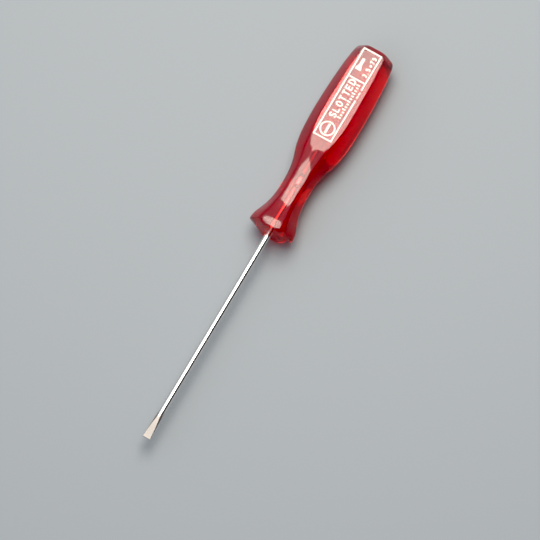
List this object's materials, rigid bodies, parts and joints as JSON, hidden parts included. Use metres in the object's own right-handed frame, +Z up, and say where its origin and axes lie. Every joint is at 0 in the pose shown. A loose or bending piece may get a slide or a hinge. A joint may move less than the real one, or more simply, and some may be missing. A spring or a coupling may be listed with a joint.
{
  "type": "slotted screwdriver",
  "caption": "Small slotted screwdriver: clear red plastic handle with a waist and collar, rounded hexagon in section, thin round steel blade, flat tip, white stamped marking.",
  "frame": {"origin": "on the surface that the tool lies on, under the middle of its bounding box", "axes": "+X along the tool's axis from the tip to the butt, +Y towards the tops of the marking's letters, +Z up, out of the marked flat"},
  "size_m": [0.1422, 0.0162, 0.014],
  "materials": {
    "handle_plastic": "clear red cellulose plastic, tumble polished",
    "blade_steel": "plated round shaft, bright drawn; tip ground bare and matt",
    "marking_foil": "white hot-stamp foil, slightly worn"
  },
  "bodies": {
    "root": {"handle": "handle_plastic", "blade": "blade_steel", "emblem_screw_head": "marking_foil", "emblem_slot": "marking_foil", "label_border": "marking_foil", "label_dash_1": "marking_foil", "label_dash_2": "marking_foil", "label_divider": "marking_foil", "letter_d_1": "marking_foil", "letter_e_1": "marking_foil", "letter_l_1": "marking_foil", "letter_o_1": "marking_foil", "letter_s_1": "marking_foil", "letter_t_1": "marking_foil", "letter_t_2": "marking_foil", "size_digit_1": "marking_foil", "size_digit_2": "marking_foil", "size_digit_3": "marking_foil", "size_digit_4": "marking_foil", "size_point": "marking_foil", "size_times": "marking_foil", "tick_01": "marking_foil", "tick_02": "marking_foil", "tick_03": "marking_foil", "tick_04": "marking_foil", "tick_05": "marking_foil", "tick_06": "marking_foil", "tick_07": "marking_foil", "tick_08": "marking_foil", "tick_09": "marking_foil", "tick_10": "marking_foil", "tick_11": "marking_foil", "tick_12": "marking_foil", "tick_13": "marking_foil", "tip_picture": "marking_foil"}
  },
  "joints": []
}
